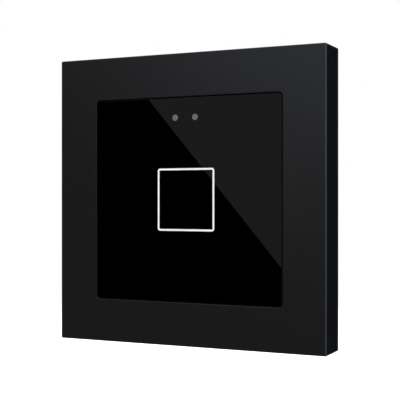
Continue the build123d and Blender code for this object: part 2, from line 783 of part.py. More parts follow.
def housing_screws():
    """Four screws that hold the rear housing and the bus board to the tray."""
    screws = []
    for place in corners(screw_offset):
        screw = disc(SCREW_R, screw_seat, screw_seat + SCREW_LENGTH, at=place)
        screw += disc(SCREW_HEAD_R, screw_seat - SCREW_HEAD_T, screw_seat, at=place)
        head_back = screw_seat - SCREW_HEAD_T
        for width, height in ((SCREW_CROSS_LENGTH, SCREW_CROSS), (SCREW_CROSS, SCREW_CROSS_LENGTH)):
            screw -= block(width, height, head_back - OVERCUT, head_back + SCREW_CROSS_DEPTH, at=place)
        screws.append(screw)
    return screws


# Plugs
def pole_body(place):
    """One pole of the bus plug: four wire entries behind and a bore for its contact in front."""
    body = block(POLE_WIDTH, PLUG_HEIGHT, bus_plug_back, plug_front, at=place)
    body = fillet(body.edges().group_by(Axis.Z)[0], PLUG_EDGE_R)
    sleeve_r = BUS_PIN_R + RUNNING_FIT + SLEEVE_WALL
    body -= disc(sleeve_r, plug_front - SLEEVE_LENGTH, plug_front + OVERCUT, at=place)
    for sx, sy in QUARTERS:
        at = (place[0] + sx * WIRE_SPACING_X / 2, place[1] + sy * WIRE_SPACING_Y / 2)
        body -= disc(WIRE_R, bus_plug_back - OVERCUT, bus_plug_back + WIRE_DEPTH, at=at)
        funnel = Cone(FUNNEL_R, WIRE_R, FUNNEL_DEPTH)
        body -= Pos(at[0], at[1], bus_plug_back + FUNNEL_DEPTH / 2) * funnel
    return body


def bus_plug_grey():
    """Left pole of the bus plug, for the negative wire."""
    return pole_body(pole_places()[0])


def bus_plug_red():
    """Right pole of the bus plug, for the positive wire."""
    return pole_body(pole_places()[1])


def sleeves(pin_r, wall, length, places):
    """Round sleeves that slide over pins, open at both ends."""
    low, high = plug_front - length, plug_front
    inner = pin_r + RUNNING_FIT
    made = []
    for place in places:
        sleeve = disc(inner + wall, low, high, at=place)
        made.append(sleeve - disc(inner, *through(low, high), at=place))
    return made


def bus_plug_contacts():
    """Sleeves in the bus plug that slide over the bus pins."""
    return sleeves(BUS_PIN_R, SLEEVE_WALL, SLEEVE_LENGTH, pole_places())


def input_plug_contacts():
    """Sleeves in the input plug that slide over the input pins."""
    return sleeves(INPUT_PIN_R, INPUT_SLEEVE_WALL, INPUT_SLEEVE_LENGTH, input_places())


def input_plug():
    """Plug for the four auxiliary input wires."""
    body = block(input_plug_width, INPUT_HEIGHT, input_plug_back, plug_front, at=INPUT_PLUG_AT)
    body = fillet(body.edges().group_by(Axis.Z)[0], PLUG_EDGE_R)
    for place in input_places():
        sleeve_r = INPUT_PIN_R + RUNNING_FIT + INPUT_SLEEVE_WALL
        body -= disc(sleeve_r, plug_front - INPUT_SLEEVE_LENGTH, plug_front + OVERCUT, at=place)
        wire = (input_plug_back - OVERCUT, input_plug_back + INPUT_WIRE_DEPTH)
        body -= disc(INPUT_WIRE_R, *wire, at=place)
    return body


NODES = [
    mounting_plate,
    cover_frame,
    front_panel,
    touch_key,
    icon_light_guide,
    proximity_lens,
    light_sensor_lens,
    panel_adhesive,
    module_tray,
    holding_magnets,
    light_box,
    sensor_boot,
    touch_electrode,
    touch_spring,
    touch_board,
    icon_leds,
    proximity_sensor,
    light_sensor,
    touch_controller,
    temperature_sensor,
    board_header,
    board_socket,
    bus_board,
    microcontroller,
    quartz_crystal,
    chip_capacitors,
    bus_inductor,
    bus_transceiver,
    bus_capacitors,
    bus_pins,
    input_pins,
    switch_body,
    switch_dome,
    switch_plunger,
    prog_button_cap,
    prog_led,
    prog_light_pipe,
    rear_housing,
    housing_screws,
    bus_plug_grey,
    bus_plug_red,
    bus_plug_contacts,
    input_plug,
    input_plug_contacts,
]


def stand_up(piece):
    """Turns a piece upright out of the drawing plane, and groups its solids if it has several."""
    solids = piece if isinstance(piece, list) else [piece]
    turned = [Rot(90, 0, 0) * solid for solid in solids]
    return turned[0] if len(turned) == 1 else Compound(children=turned)


os.makedirs("parts", exist_ok=True)
for node in NODES:
    export_step(stand_up(node()), f"parts/{node.__name__}.step")
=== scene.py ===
import json
import math

import bmesh
import bpy
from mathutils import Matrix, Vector


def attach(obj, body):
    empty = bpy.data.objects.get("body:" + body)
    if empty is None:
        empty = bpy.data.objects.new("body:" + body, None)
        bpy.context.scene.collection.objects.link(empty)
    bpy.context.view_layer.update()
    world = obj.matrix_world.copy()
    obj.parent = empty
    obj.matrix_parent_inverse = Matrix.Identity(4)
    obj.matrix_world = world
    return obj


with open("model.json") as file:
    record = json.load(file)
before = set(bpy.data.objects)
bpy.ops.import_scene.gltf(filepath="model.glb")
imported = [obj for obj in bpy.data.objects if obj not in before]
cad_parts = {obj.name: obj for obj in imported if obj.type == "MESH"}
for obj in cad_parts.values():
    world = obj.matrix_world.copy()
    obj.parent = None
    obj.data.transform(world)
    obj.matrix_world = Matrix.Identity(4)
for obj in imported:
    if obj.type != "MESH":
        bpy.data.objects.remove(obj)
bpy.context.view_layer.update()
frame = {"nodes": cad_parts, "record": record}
nodes = frame["nodes"]
MM = 0.001

# Camera, fitted to the outline of the frame and the lines of the ring
CAMERA_AT = (0.116293, -0.246557, -0.000098)
CAMERA_YAW = math.radians(25.312)
LENS_MM = 87.25
SENSOR_MM = 36.0
CLIP_START = 0.01
CLIP_END = 50.0

# Sizes and places of the switch in millimetres, as in the part's source: drawn flat in the wall
# plane, x to the right and y upwards, with heights measured out of the wall
FRAME_SIDE = 80.0
FACE_BACK = 8.0
ICON_SIDE = 17.2
ICON_LINE = 0.6
ICON_CORNER_R = 0.8
HEADER_STRIP_BACK = 1.99
HOUSING_SIDE = 43.0
HOUSING_BACK = -13.7
BOARD_FRONT = -2.0
BOARD_BACK = -3.2
BUS_PLUG = (11.5, 10.0, (0.0, 9.5))
INPUT_PLUG = (11.0, 5.8, (0.0, -12.4))
BUS_PINS_AT = ((-2.875, 9.5), (2.875, 9.5))
INPUT_PINS_AT = tuple((-3.75 + 2.5 * i, -12.4) for i in range(4))
SOCKET_PINS_AT = tuple((x, y) for x in (-4, -2, 0, 2, 4) for y in (-16, -14))
BUTTON_AT = (-5.0, -2.6)
LAMP_AT = (5.0, -2.6)
CHIP_AT = (-9.0, 6.0)
TRANSCEIVER_AT = (14.2, -5.2)
INDUCTOR_AT = (13.7, 2.6)
CRYSTAL_AT = (3.0, 6.0)
CANS_AT = ((-13.55, 2.8), (-13.55, -4.6))


def add_object(name, data):
    made = bpy.data.objects.new(name, data)
    bpy.context.scene.collection.objects.link(made)
    return made


def add_camera():
    data = bpy.data.cameras.new("camera")
    data.lens = LENS_MM
    data.sensor_width = SENSOR_MM
    data.sensor_fit = "HORIZONTAL"
    data.clip_start = CLIP_START
    data.clip_end = CLIP_END
    camera = add_object("camera", data)
    camera.location = CAMERA_AT
    camera.rotation_euler = (math.radians(90), 0, CAMERA_YAW)
    bpy.context.scene.camera = camera


add_camera()
bpy.context.scene.view_settings.view_transform = "Standard"


# Materials
WHITE = (1.0, 1.0, 1.0)
BLACK = (0.0, 0.0, 0.0)


def rgba(colour):
    return (*colour, 1.0)


def scaled(colour, factor):
    return tuple(min(c * factor, 1.0) for c in colour)


class Nodes:
    """Adds nodes to one material or world. An input is a value or another node's socket."""

    def __init__(self, tree):
        self.tree = tree
        tree.nodes.clear()

    def add(self, kind, inputs=None, **settings):
        node = self.tree.nodes.new(kind)
        for key, value in settings.items():
            setattr(node, key, value)
        for key, value in (inputs or {}).items():
            if isinstance(value, bpy.types.NodeSocket):
                self.tree.links.new(value, node.inputs[key])
            else:
                node.inputs[key].default_value = value
        return node

    def coordinates(self):
        """Place in the object and its normal, both in the row frame."""
        made = self.add("ShaderNodeTexCoord").outputs
        return made["Object"], made["Normal"]

    def geometry(self):
        return self.add("ShaderNodeNewGeometry").outputs

    def axes(self, vector):
        made = self.add("ShaderNodeSeparateXYZ", {"Vector": vector}).outputs
        return made["X"], made["Y"], made["Z"]

    def math(self, operation, a, b=0.0):
        return self.add("ShaderNodeMath", {0: a, 1: b}, operation=operation).outputs[0]

    def above(self, value, limit):
        return self.math("GREATER_THAN", value, limit)

    def below(self, value, limit):
        return self.math("LESS_THAN", value, limit)

    def both(self, a, b):
        return self.math("MULTIPLY", a, b)

    def either(self, a, b):
        return self.math("MAXIMUM", a, b)

    def size_of(self, value):
        return self.math("ABSOLUTE", value)

    def noise(self, vector, feature_mm, detail=2.0, rough=0.5):
        """Noise whose largest features are about that many millimetres wide."""
        inputs = {"Vector": vector, "Scale": 1 / (feature_mm * MM)}
        inputs.update({"Detail": detail, "Roughness": rough})
        return self.add("ShaderNodeTexNoise", inputs).outputs["Fac"]

    def cells(self, vector, cell_mm, feature="F1"):
        inputs = {"Vector": vector, "Scale": 1 / (cell_mm * MM)}
        return self.add("ShaderNodeTexVoronoi", inputs, feature=feature).outputs

    def span(self, value, low, high, start=0.0, end=1.0, smooth=False):
        """A value that runs from start to end, brought into another span."""
        inputs = {"Value": value, "From Min": start, "From Max": end}
        inputs.update({"To Min": low, "To Max": high})
        kind = "SMOOTHSTEP" if smooth else "LINEAR"
        return self.add("ShaderNodeMapRange", inputs, interpolation_type=kind).outputs["Result"]

    def stretched(self, vector, scale):
        return self.add("ShaderNodeMapping", {"Vector": vector, "Scale": scale}).outputs["Vector"]

    def mix(self, factor, a, b):
        """Mixes two colours, each a tuple or a socket."""
        a, b = (rgba(colour) if isinstance(colour, tuple) else colour for colour in (a, b))
        inputs = {"Factor": factor, "A": a, "B": b}
        return self.add("ShaderNodeMix", inputs, data_type="RGBA").outputs["Result"]

    def blend(self, factor, a, b):
        """Mixes two numbers."""
        return self.add("ShaderNodeMix", {"Factor": factor, "A": a, "B": b}).outputs["Result"]

    def tones(self, factor, colour, spread):
        return self.mix(factor, scaled(colour, 1 - spread), scaled(colour, 1 + spread))

    def bump(self, height, depth_mm):
        inputs = {"Height": height, "Distance": depth_mm * MM}
        return self.add("ShaderNodeBump", inputs).outputs["Normal"]


def blank_material(name):
    material = bpy.data.materials.new(name)
    material.use_nodes = True
    return material, Nodes(material.node_tree)


def surface(name, build, **fixed):
    """A material whose build gives the linked inputs. The fixed ones are set on the shader."""
    material, made = blank_material(name)
    shader = made.add("ShaderNodeBsdfPrincipled", {**fixed, **build(made)})
    made.add("ShaderNodeOutputMaterial", {"Surface": shader.outputs[0]})
    return material


# Where the frame's inner finish begins: in front of its face's back, and inside its outline
INNER_FACE_MARGIN = 0.3
INNER_WALL_MARGIN = 0.2


def satin_frame(made):
    """Satin black moulding outside, spark-eroded grain inside."""
    at, _ = made.coordinates()
    x, y, z = made.axes(at)
    reach = made.either(made.size_of(x), made.size_of(z))
    behind = made.above(y, -(FACE_BACK + INNER_FACE_MARGIN) * MM)
    inside = made.both(behind, made.below(reach, (FRAME_SIDE / 2 - INNER_WALL_MARGIN) * MM))
    drift = made.noise(at, 22.0, 3.0)
    fine = made.noise(at, 0.14, 1.0)
    coarse = made.noise(at, 0.35, 3.0, 0.6)
    outer = made.mix(drift, (0.0103, 0.0095, 0.0100), (0.0111, 0.0103, 0.0108))
    inner = made.mix(coarse, (0.010, 0.010, 0.0105), (0.019, 0.019, 0.0195))
    rough = made.blend(inside, made.span(fine, 0.215, 0.245), made.span(coarse, 0.45, 0.62))
    height = made.blend(inside, made.span(fine, 0.0, 0.05), coarse)
    return {
        "Base Color": made.mix(inside, outer, inner),
        "Roughness": rough,
        "Normal": made.bump(height, 0.02),
    }


def gloss_panel(made):
    """Polished black front. Its rim is ground matt."""
    at, normal = made.coordinates()
    _, facing, _ = made.axes(normal)
    rim = made.above(facing, -0.995)
    drift = made.noise(at, 14.0, 2.0)
    face = made.mix(drift, (0.00003, 0.00003, 0.00003), (0.00006, 0.00006, 0.00007))
    grit = made.noise(at, 0.1, 2.0)
    ground = made.mix(grit, (0.002, 0.002, 0.002), (0.005, 0.005, 0.005))
    rough = made.blend(rim, made.span(drift, 0.008, 0.016), 0.5)
    return {"Base Color": made.mix(rim, face, ground), "Roughness": rough}


def moulded(colour, rough, grain_mm=0.3, depth_mm=0.012, mottle=0.06, vary=0.05, dust=0.0):
    """Moulded plastic: grain, a slow change of tone, an uneven sheen and perhaps some dust."""

    def build(made):
        at, normal = made.coordinates()
        grain = made.noise(at, grain_mm, 3.0, 0.6)
        drift = made.noise(at, 9.0, 3.0)
        tone = made.tones(drift, colour, mottle)
        peaks = made.span(grain, 0.0, 0.5, 0.45, 0.75)
        tone = made.mix(peaks, tone, scaled(colour, 1 + 2 * mottle))
        sheen = made.span(drift, rough - vary, rough + vary, 0.3, 0.7)
        sheen = made.math("ADD", sheen, made.span(grain, -vary, vary, 0.3, 0.7))
        if dust:
            _, _, up = made.axes(normal)
            patches = made.span(made.noise(at, 1.2, 4.0), 0.0, dust, 0.4, 0.7)
            settled = made.both(made.span(up, 0.0, 1.0, 0.2, 0.9), patches)
            tone = made.mix(settled, tone, (0.2, 0.19, 0.18))
        return {"Base Color": tone, "Roughness": sheen, "Normal": made.bump(grain, depth_mm)}

    return build


# Width in millimetres of the ring's rim, over which its colour is painted darker as shade
GUIDE_PAINTED_SHADE_RIM = 0.1


def light_guide(made):
    """White sheet. Its raised ring's colour is painted darker at its rims: painted shade for
    light lost to the black panel.
    """
    at, _ = made.coordinates()
    x, _, z = made.axes(at)
    wide, high = made.size_of(x), made.size_of(z)
    straight = (ICON_SIDE / 2 - ICON_CORNER_R) * MM
    over = [made.either(made.math("SUBTRACT", value, straight), 0.0) for value in (wide, high)]
    squares = [made.both(value, value) for value in over]
    bend = made.math("SQRT", made.math("ADD", *squares))
    outer = made.math("SUBTRACT", ICON_CORNER_R * MM, bend)
    inner = made.math("SUBTRACT", made.either(wide, high), (ICON_SIDE / 2 - ICON_LINE) * MM)
    # Painted shade: 1 inside the ring's line, falling to 0 at its rims, where the colour turns
    # dark grey
    out_of_painted_rim_shade = made.span(made.math("MINIMUM", outer, inner), 0.0, 1.0, 0.0, GUIDE_PAINTED_SHADE_RIM * MM)
    cloud = made.noise(at, 2.5, 3.0)
    white = made.mix(cloud, (0.94, 0.94, 0.94), (0.96, 0.96, 0.96))
    return {
        "Base Color": made.mix(out_of_painted_rim_shade, (0.06, 0.06, 0.06), white),
        "Roughness": made.span(cloud, 0.34, 0.46),
        "Normal": made.bump(made.noise(at, 0.2, 3.0, 0.6), 0.002),
    }


def translucent(colour, rough):
    """Clear moulding with faint flow marks."""

    def build(made):
        at, _ = made.coordinates()
        flow = made.noise(made.stretched(at, (1.0, 0.4, 2.5)), 3.0, 3.0)
        fine = made.noise(at, 0.25, 2.0)
        return {
            "Base Color": made.tones(flow, colour, 0.03),
            "Roughness": made.span(flow, rough - 0.04, rough + 0.06),
            "Normal": made.bump(fine, 0.001),
        }

    return build


def galvanised(made):
    """Zinc-coated sheet: spangle, rolling lines and light scuffs."""
    at, normal = made.coordinates()
    _, facing, _ = made.axes(normal)
    face = made.above(made.size_of(facing), 0.7)
    swirl = made.add("ShaderNodeTexNoise", {"Vector": at, "Scale": 350.0, "Detail": 1.0})
    inputs = {0: swirl.outputs["Color"], "Scale": 0.001}
    pull = made.add("ShaderNodeVectorMath", inputs, operation="SCALE").outputs[0]
    warped = made.add("ShaderNodeVectorMath", {0: at, 1: pull}, operation="ADD").outputs[0]
    tint, _, _ = made.axes(made.cells(made.stretched(warped, (1.0, 0.0, 1.0)), 3.2)["Color"])
    rolled = made.noise(made.stretched(at, (1.0, 1.0, 40.0)), 4.0, 4.0)
    scuff = made.noise(made.stretched(at, (18.0, 1.0, 2.0)), 5.0, 5.0, 0.7)
    tone = made.mix(tint, (0.40, 0.41, 0.43), (0.58, 0.59, 0.61))
    tone = made.mix(made.span(rolled, 0.0, 0.35, 0.4, 0.7), tone, (0.51, 0.52, 0.54))
    tone = made.mix(face, (0.42, 0.42, 0.43), tone)
    rough = made.math("ADD", made.span(tint, 0.40, 0.52), made.span(scuff, 0.0, 0.16, 0.5, 0.75))
    height = made.math("ADD", made.both(rolled, 0.4), made.both(tint, 0.25))
    return {"Base Color": tone, "Roughness": rough, "Normal": made.bump(height, 0.012)}


def metal(colour, rough, streak=(1, 1, 1), feature_mm=0.6, depth_mm=0.003, tarnish=0.12):
    """Bare or plated metal with fine marks in one direction and a little tarnish."""

    def build(made):
        at, _ = made.coordinates()
        marks = made.noise(made.stretched(at, streak), feature_mm, 4.0, 0.6)
        cloud = made.noise(at, 3.5, 3.0)
        tone = made.tones(marks, colour, 0.05)
        dull = made.span(cloud, 0.0, 0.8, 0.45, 0.8)
        tone = made.mix(dull, tone, scaled(colour, 1 - 2.5 * tarnish))
        sheen = made.span(marks, rough - 0.05, rough + 0.07)
        sheen = made.math("ADD", sheen, made.span(cloud, 0.0, 0.12, 0.5, 0.8))
        return {"Base Color": tone, "Roughness": sheen, "Normal": made.bump(marks, depth_mm)}

    return build


# Pattern of the circuit boards: cells that turn and shift the tracks, the tracks' pitch in them,
# and the cells that each hold a via
TRACK_CELL = 5.5
TRACK_PITCH = 0.9
VIA_CELL = 2.6


def circuit_board(made):
    """Green solder mask over copper tracks with tinned vias, each with a near-black dot of
    painted shade for its hole. The edges show the laminate.
    """
    at, normal = made.coordinates()
    x, _, z = made.axes(at)
    _, facing, _ = made.axes(normal)
    face = made.above(made.size_of(facing), 0.9)
    turn, shift, _ = made.axes(made.cells(at, TRACK_CELL)["Color"])
    run = made.blend(made.above(turn, 0.5), x, z)
    steps = made.math("ADD", made.math("DIVIDE", run, TRACK_PITCH * MM), shift)
    steps = made.math("FRACT", steps)
    track = made.both(made.below(steps, 0.42), made.above(made.noise(at, 6.0, 1.0), 0.44))
    apart = made.cells(at, TRACK_CELL, "DISTANCE_TO_EDGE")["Distance"]
    track = made.both(track, made.above(apart, 0.035))
    hole_distance = made.cells(at, VIA_CELL)["Distance"]
    pad = made.below(hole_distance, 0.11)
    # Painted shade: a near-black dot for each via's drilled hole
    drill_painted_shade = made.below(hole_distance, 0.05)
    weave = made.noise(at, 0.25, 2.0)
    mask = made.mix(track, (0.010, 0.105, 0.040), (0.020, 0.175, 0.062))
    mask = made.mix(made.span(weave, 0.0, 0.25), mask, (0.012, 0.12, 0.045))
    tone = made.mix(pad, mask, (0.60, 0.58, 0.52))
    tone = made.mix(drill_painted_shade, tone, (0.01, 0.01, 0.01))
    laminate = made.mix(weave, (0.30, 0.27, 0.14), (0.42, 0.37, 0.20))
    height = made.math("ADD", made.both(track, 0.6), made.both(pad, 0.7))
    return {
        "Base Color": made.mix(face, laminate, tone),
        "Roughness": made.blend(face, 0.7, made.span(weave, 0.22, 0.34)),
        "Normal": made.bump(height, 0.025),
    }


def foam(made):
    """Black foam tape with open pores, whose colour is painted darker towards each pore's middle
    as shade.
    """
    at, _ = made.coordinates()
    pores = made.cells(at, 0.18)["Distance"]
    return {
        # Painted shade: each pore's colour darkens towards its middle
        "Base Color": made.mix(pores, (0.012, 0.012, 0.013), (0.05, 0.05, 0.052)),
        "Roughness": made.span(pores, 0.95, 0.75),
        "Normal": made.bump(pores, 0.05),
    }


def ceramic(made):
    """Small capacitors: each its own shade of tan, with a fired, slightly speckled skin."""
    at, _ = made.coordinates()
    each = made.geometry()["Random Per Island"]
    speck = made.noise(at, 0.12, 3.0, 0.7)
    tone = made.mix(each, (0.36, 0.27, 0.17), (0.50, 0.41, 0.29))
    return {
        "Base Color": made.mix(made.span(speck, 0.0, 0.5, 0.5, 0.8), tone, (0.25, 0.19, 0.13)),
        "Roughness": made.span(speck, 0.3, 0.5),
        "Normal": made.bump(speck, 0.004),
    }


def lamp_resin(made):
    """Yellow phosphor in the middle of a white lamp body."""
    at, normal = made.coordinates()
    _, facing, _ = made.axes(normal)
    cloud = made.noise(at, 0.3, 3.0)
    phosphor = made.mix(cloud, (0.80, 0.66, 0.20), (0.90, 0.78, 0.34))
    body = made.mix(cloud, (0.82, 0.82, 0.80), (0.90, 0.90, 0.88))
    tone = made.mix(made.below(facing, -0.9), body, phosphor)
    return {"Base Color": tone, "Roughness": made.span(cloud, 0.25, 0.4)}


def pin_header(made):
    """Black strip with bright pins behind it."""
    at, _ = made.coordinates()
    _, y, _ = made.axes(at)
    pins = made.above(y, -HEADER_STRIP_BACK * MM)
    grain = made.noise(at, 0.15, 3.0)
    resin = made.mix(grain, (0.018, 0.018, 0.020), (0.030, 0.030, 0.032))
    plated = made.mix(grain, (0.56, 0.52, 0.42), (0.66, 0.62, 0.52))
    return {
        "Base Color": made.mix(pins, resin, plated),
        "Metallic": pins,
        "Roughness": made.blend(pins, made.span(grain, 0.42, 0.6), made.span(grain, 0.22, 0.34)),
        "Normal": made.bump(grain, 0.004),
    }


# Each slot's build, with what is the same all over its surface
ROLLED = (1.0, 30.0, 1.0)
METALLIC = {"Metallic": 1.0}
CLEAR = {"IOR": 1.5}
RUBBERY = {"Sheen Weight": 0.15}
GLOWING = {"Transmission Weight": 0.35, "Subsurface Weight": 0.2, "Subsurface Scale": 0.0008}
PLUG_GRAIN = {"grain_mm": 0.25, "depth_mm": 0.008}
LOOKS = {
    "frame_plastic": (satin_frame, CLEAR),
    "panel_gloss": (gloss_panel, CLEAR),
    "guide_white": (light_guide, {}),
    "lens_grey": (
        moulded((0.136, 0.136, 0.136), 0.16, 0.2, depth_mm=0.0005, mottle=0.02, vary=0.02),
        {},
    ),
    "tray_plastic": (
        moulded((0.021, 0.021, 0.022), 0.46, 0.32, 0.02, mottle=0.12, vary=0.06, dust=0.12),
        {},
    ),
    "reflector_white": (moulded((0.84, 0.84, 0.82), 0.5, 0.35, 0.01, mottle=0.02), {}),
    "boot_rubber": (
        moulded((0.016, 0.016, 0.017), 0.72, 0.22, 0.015, mottle=0.2, vary=0.06, dust=0.3),
        RUBBERY,
    ),
    "tape_foam": (foam, {}),
    "zinc_steel": (galvanised, METALLIC),
    "screw_steel": (metal((0.60, 0.60, 0.62), 0.3, ROLLED, 0.8), METALLIC),
    "nickel": (
        metal((0.42, 0.41, 0.39), 0.24, feature_mm=0.8, depth_mm=0.002, tarnish=0.1),
        METALLIC,
    ),
    "spring_steel": (metal((0.62, 0.61, 0.59), 0.24, ROLLED, 0.4), METALLIC),
    "copper_foil": (
        metal((0.78, 0.42, 0.26), 0.3, (1, 1, 25), 1.2, depth_mm=0.002, tarnish=0.14),
        METALLIC,
    ),
    "contact_metal": (metal((0.74, 0.70, 0.60), 0.26, (1, 0.2, 1), 0.3), METALLIC),
    "board_laminate": (circuit_board, CLEAR),
    "chip_resin": (
        moulded((0.022, 0.022, 0.024), 0.5, 0.09, depth_mm=0.006, mottle=0.2, vary=0.06),
        {},
    ),
    "chip_ceramic": (ceramic, {}),
    "can_aluminium": (metal((0.76, 0.76, 0.77), 0.28, ROLLED, 1.0, tarnish=0.05), METALLIC),
    "led_resin": (lamp_resin, {}),
    "button_plastic": (moulded((0.62, 0.62, 0.59), 0.38, 0.25, 0.006, mottle=0.03), {}),
    "pipe_red": (translucent((0.52, 0.012, 0.014), 0.12), GLOWING),
    "plug_red": (moulded((0.46, 0.013, 0.014), 0.36, **PLUG_GRAIN, dust=0.06), {}),
    "plug_grey": (
        moulded((0.055, 0.056, 0.060), 0.38, **PLUG_GRAIN, mottle=0.08, dust=0.08),
        {},
    ),
    "plug_pale": (moulded((0.55, 0.56, 0.55), 0.4, **PLUG_GRAIN, mottle=0.04, dust=0.06), {}),
}
MATERIALS = {slot: surface(slot, build, **fixed) for slot, (build, fixed) in LOOKS.items()}
TIN = surface("tin", metal((0.66, 0.66, 0.65), 0.3, (1, 1, 1), 0.35, 0.004, 0.08), **METALLIC)
HEADER = surface("header", pin_header)

for part in frame["record"]["subparts"]:
    carried = nodes[part["node"]].data.materials
    carried.clear()
    is_header = part["node"] == "board_header"
    carried.append(HEADER if is_header else MATERIALS[part["material_slot"]])


# Small pieces, drawn flat like the part's own
def spot(x, y, h):
    """A flat place and a height in millimetres as a point of the row frame."""
    return Vector((x, -h, y)) * MM


def rounded(width, height, radius, at=(0.0, 0.0), steps=5):
    """Points round a rectangle with rounded corners."""
    points = []
    for turn, (sx, sy) in enumerate(((1, 1), (-1, 1), (-1, -1), (1, -1))):
        cx = at[0] + sx * (width / 2 - radius)
        cy = at[1] + sy * (height / 2 - radius)
        for step in range(steps + 1):
            angle = math.radians(90 * (turn + step / steps))
            points.append((cx + radius * math.cos(angle), cy + radius * math.sin(angle)))
    return points


def on_circle(radius, at, angle):
    return (at[0] + radius * math.cos(angle), at[1] + radius * math.sin(angle))


def circle(radius, at=(0.0, 0.0), steps=32):
    turn = 2 * math.pi / steps
    return [on_circle(radius, at, turn * i) for i in range(steps)]


def lean(a, b, distance):
    """The point that far from a towards b."""
    share = distance / math.hypot(b[0] - a[0], b[1] - a[1])
    return (a[0] + (b[0] - a[0]) * share, a[1] + (b[1] - a[1]) * share)


class Shape:
    """A mesh made of loops joined by strips."""

    def __init__(self):
        self.mesh = bmesh.new()

    def loop(self, points, h):
        return self.corners([(x, y, h) for x, y in points])

    def corners(self, places):
        return [self.mesh.verts.new(spot(*place)) for place in places]

    def strip(self, a, b):
        for i in range(len(a)):
            j = (i + 1) % len(a)
            self.mesh.faces.new((a[i], a[j], b[j], b[i]))

    def tube(self, loops):
        """Closed solid through the loops."""
        for a, b in zip(loops, loops[1:]):
            self.strip(a, b)
        self.mesh.faces.new(loops[0])
        self.mesh.faces.new(loops[-1])

    def stack(self, layers):
        """Closed solid through layers, each a list of points and a height."""
        self.tube([self.loop(points, h) for points, h in layers])

    def band(self, outer, inner, foot, top, slope):
        """Closed rim between two outlines of as many points. The slope rounds off its top."""
        mid = top - math.copysign(slope, top - foot)
        shrink = [lean(o, i, slope) for o, i in zip(outer, inner)]
        swell = [lean(i, o, slope) for o, i in zip(outer, inner)]
        outside = [(outer, foot), (outer, mid), (shrink, top)]
        inside = [(swell, top), (inner, mid), (inner, foot)]
        loops = [self.loop(points, h) for points, h in outside + inside]
        for a, b in zip(loops, loops[1:] + loops[:1]):
            self.strip(a, b)

    def finish(self, name, body, slot, material=None):
        """Makes the piece, in the slot's own material if no other is given."""
        bmesh.ops.recalc_face_normals(self.mesh, faces=self.mesh.faces)
        data = bpy.data.meshes.new(name)
        self.mesh.to_mesh(data)
        self.mesh.free()
        data.materials.append(material or MATERIALS[slot])
        made = add_object(name, data)
        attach(made, body)


# Relief on the housing's back. A rise is how far it stands out, and a slope rounds off its top
RELIEF_SINK = 0.05
LIP_OUTER_GROWTH, LIP_INNER_GROWTH = 2.6, 0.8
LIP_OUTER_R, LIP_INNER_R = 1.2, 0.4
LIP_RISE, LIP_SLOPE = 0.35, 0.12
COLLAR_OUTER_R, COLLAR_INNER_R = 3.0, 2.35
COLLAR_RISE, COLLAR_SLOPE = 0.25, 0.1
LABELS_AT = ((-14.2, 0.0), (14.2, 0.0))
LABEL_WIDTH, LABEL_HEIGHT, LABEL_LINE = 7.6, 12.6, 0.4
LABEL_OUTER_R, LABEL_INNER_R = 0.9, 0.5
LABEL_RISE, LABEL_SLOPE = 0.12, 0.06
BACK_MARKS_AT = ((-7.6, 17.8), (7.6, 17.8), (-9.2, -17.6), (9.2, -17.6))
BACK_MARK_OUTER_R, BACK_MARK_INNER_R = 1.5, 1.3
BACK_MARK_RISE, BACK_MARK_SLOPE = 0.06, 0.03

# Crush ribs on the housing's sides. The section is in shares of their width and rise
RIBS_ACROSS = (-9.0, -4.5, 0.0, 4.5, 9.0)
RIB_FRONT, RIB_BACK = -1.6, -12.6
RIB_WIDTH, RIB_RISE = 0.9, 0.4
RIB_TAPER = 1.0
RIB_SECTION = ((-0.5, -0.05), (0.5, -0.05), (0.32, 0.75), (0.0, 1.0), (-0.32, 0.75))


def side_rib(shape, quarter, across):
    """Crush rib on one of the housing's four straight sides, from the plate to the back."""
    turn = math.radians(90 * quarter)
    c, s = round(math.cos(turn)), round(math.sin(turn))
    ends = ((RIB_FRONT, 1.0, 1.0), (RIB_BACK + RIB_TAPER, 1.0, 1.0), (RIB_BACK, 0.1, 0.4))
    loops = []
    for h, lift, spread in ends:
        turned = []
        for side, up in RIB_SECTION:
            px = HOUSING_SIDE / 2 + up * RIB_RISE * lift
            py = across + side * RIB_WIDTH * spread
            turned.append((px * c - py * s, px * s + py * c))
        loops.append(shape.loop(turned, h))
    shape.tube(loops)


def add_housing_relief():
    """Lips round the sockets, collars round button and lamp, label fields, marks and ribs."""
    shape = Shape()
    foot = HOUSING_BACK + RELIEF_SINK
    for width, height, at in (BUS_PLUG, INPUT_PLUG):
        outer = rounded(width + LIP_OUTER_GROWTH, height + LIP_OUTER_GROWTH, LIP_OUTER_R, at)
        inner = rounded(width + LIP_INNER_GROWTH, height + LIP_INNER_GROWTH, LIP_INNER_R, at)
        shape.band(outer, inner, foot, HOUSING_BACK - LIP_RISE, LIP_SLOPE)
    for at in (BUTTON_AT, LAMP_AT):
        outer, inner = circle(COLLAR_OUTER_R, at), circle(COLLAR_INNER_R, at)
        shape.band(outer, inner, foot, HOUSING_BACK - COLLAR_RISE, COLLAR_SLOPE)
    for at in LABELS_AT:
        line = 2 * LABEL_LINE
        outer = rounded(LABEL_WIDTH, LABEL_HEIGHT, LABEL_OUTER_R, at)
        inner = rounded(LABEL_WIDTH - line, LABEL_HEIGHT - line, LABEL_INNER_R, at)
        shape.band(outer, inner, foot, HOUSING_BACK - LABEL_RISE, LABEL_SLOPE)
    for at in BACK_MARKS_AT:
        outer, inner = circle(BACK_MARK_OUTER_R, at), circle(BACK_MARK_INNER_R, at)
        shape.band(outer, inner, foot, HOUSING_BACK - BACK_MARK_RISE, BACK_MARK_SLOPE)
    for quarter in range(4):
        for across in RIBS_ACROSS:
            side_rib(shape, quarter, across)
    shape.finish("housing_relief", "module", "tray_plastic")


